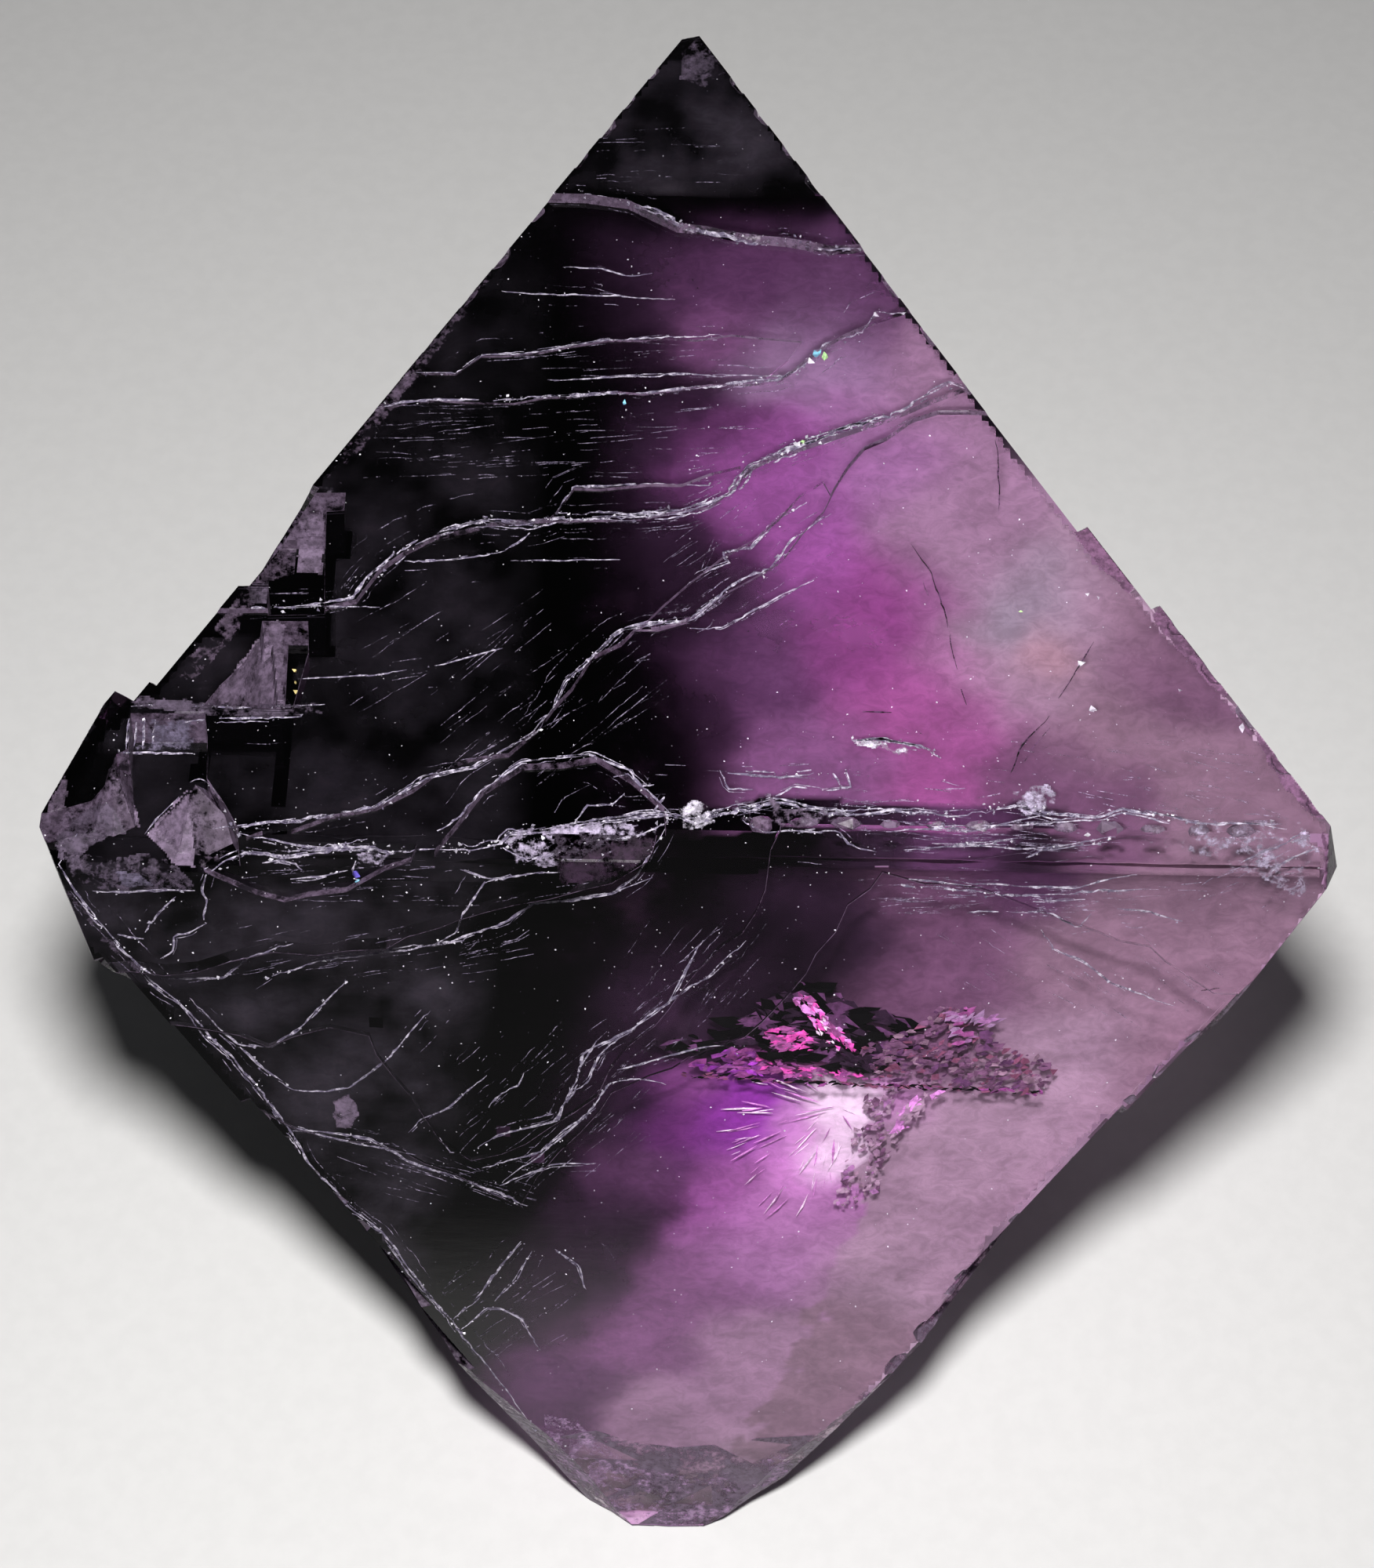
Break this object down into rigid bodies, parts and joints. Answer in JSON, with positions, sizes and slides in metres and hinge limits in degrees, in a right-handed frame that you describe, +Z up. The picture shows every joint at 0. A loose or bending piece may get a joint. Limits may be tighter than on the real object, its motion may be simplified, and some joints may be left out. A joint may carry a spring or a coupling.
{
  "type": "fluorite octahedron",
  "caption": "Cleaved octahedron of see-through violet fluorite lying on one of its faces, with stepped cleavage faces, a blocky notched corner and a broken front corner.",
  "frame": {"origin": "on the plane of the rest face, below the middle of the octahedron", "axes": "+Z up from the rest face, which is level with the top face; +X along the ridge between the top face and the front face, towards the pale corner; -Y towards the broken front corner"},
  "size_m": [0.0363, 0.039, 0.0297],
  "materials": {
    "violet_fluorite": "clear, polished by cleaving, with frosty step lines and chips"
  },
  "bodies": {
    "root": {"crystal": "violet_fluorite"}
  },
  "joints": []
}
